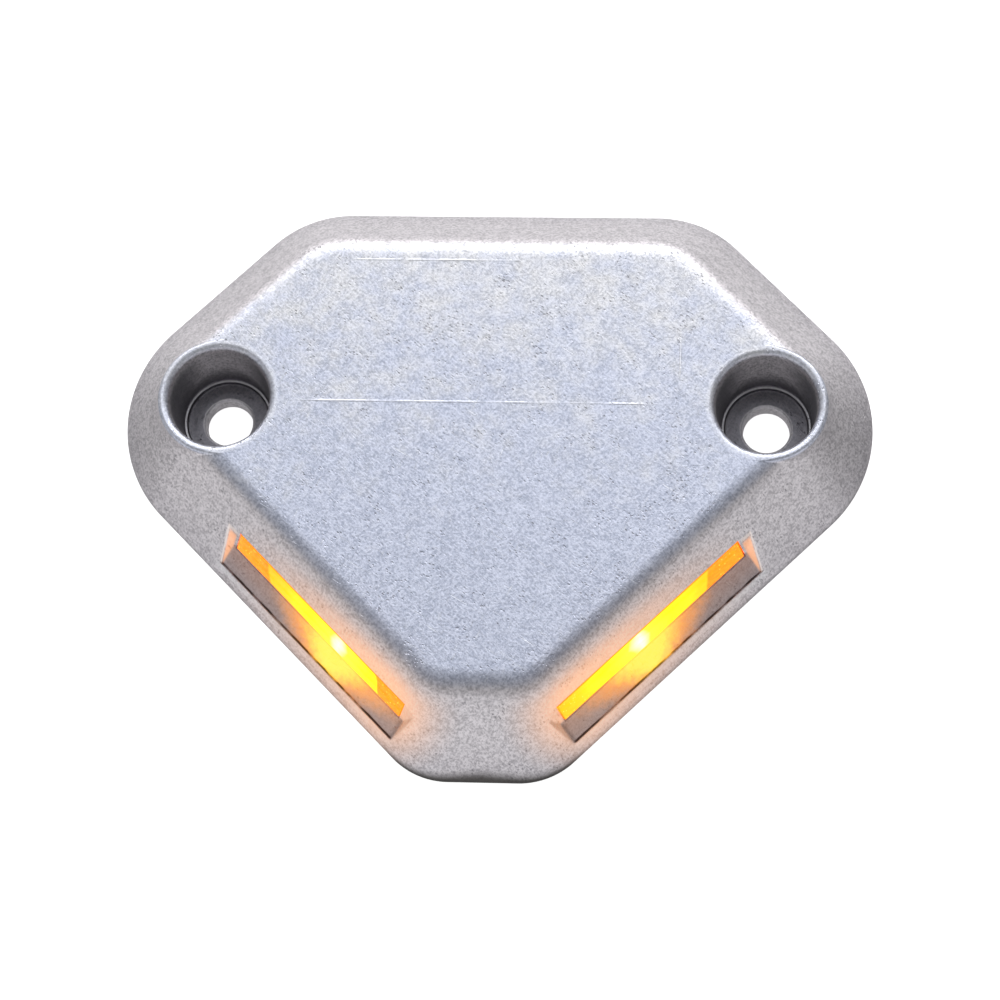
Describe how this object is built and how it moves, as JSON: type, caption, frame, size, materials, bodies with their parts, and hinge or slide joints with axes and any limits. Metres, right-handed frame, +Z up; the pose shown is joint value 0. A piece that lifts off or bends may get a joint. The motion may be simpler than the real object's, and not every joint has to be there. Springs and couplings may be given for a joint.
{
  "type": "raised pavement marker",
  "caption": "Low die-cast road stud with a sloped six-sided body, amber light windows on both front flanks, and deep bolt wells at its side corners.",
  "frame": {"origin": "middle of the footprint on the road surface, under the housing", "axes": "+X across the marker between its two bolt holes, -Y towards the lit front, +Z up from the road"},
  "size_m": [0.1466, 0.1164, 0.0185],
  "materials": {
    "cast_aluminium": "as cast, barrel tumbled",
    "pressed_aluminium": "mill finish, lightly blasted",
    "amber_lens": "clear amber moulding, lit from behind",
    "black_silicone": "matt moulded",
    "zinc_steel": "bright zinc plated",
    "nickel_brass": "nickel plated",
    "amber_led": "lit light-emitting package",
    "green_laminate": "solder masked laminate",
    "white_laminate": "white solder masked laminate",
    "black_moulding": "moulded epoxy",
    "white_moulding": "moulded nylon",
    "green_moulding": "moulded nylon",
    "yellow_film_case": "filled plastic case",
    "blue_epoxy": "dipped epoxy",
    "enamelled_copper": "enamelled copper winding",
    "red_insulation": "extruded silicone insulation"
  },
  "bodies": {
    "root": {"housing": "cast_aluminium", "base_cover": "pressed_aluminium", "base_gasket": "black_silicone", "cover_screw_1": "zinc_steel", "cover_screw_2": "zinc_steel", "cover_screw_3": "zinc_steel", "cover_screw_4": "zinc_steel", "cover_screw_5": "zinc_steel", "cover_screw_6": "zinc_steel", "cable_gland_body": "nickel_brass", "cable_gland_nut": "nickel_brass", "cable_gland_seal": "black_silicone", "lens_left": "amber_lens", "lens_gasket_left": "black_silicone", "lens_retainer_left": "zinc_steel", "led_board_left": "white_laminate", "clamp_screw_left_1": "zinc_steel", "clamp_screw_left_2": "zinc_steel", "led_left_1": "amber_led", "led_left_2": "amber_led", "led_left_3": "amber_led", "led_lead_left_1": "red_insulation", "led_lead_left_2": "black_moulding", "led_connector_left": "white_moulding", "lens_right": "amber_lens", "lens_gasket_right": "black_silicone", "lens_retainer_right": "zinc_steel", "led_board_right": "white_laminate", "clamp_screw_right_1": "zinc_steel", "clamp_screw_right_2": "zinc_steel", "led_right_1": "amber_led", "led_right_2": "amber_led", "led_right_3": "amber_led", "led_lead_right_1": "red_insulation", "led_lead_right_2": "black_moulding", "led_connector_right": "white_moulding", "driver_board": "green_laminate", "board_screw_1": "zinc_steel", "board_screw_2": "zinc_steel", "board_screw_3": "zinc_steel", "board_screw_4": "zinc_steel", "bridge_rectifier": "black_moulding", "driver_chip": "black_moulding", "film_capacitor": "yellow_film_case", "terminal_block": "green_moulding", "surge_disc": "blue_epoxy", "smoothing_capacitor": "black_moulding", "choke_coil": "enamelled_copper"}
  },
  "joints": []
}
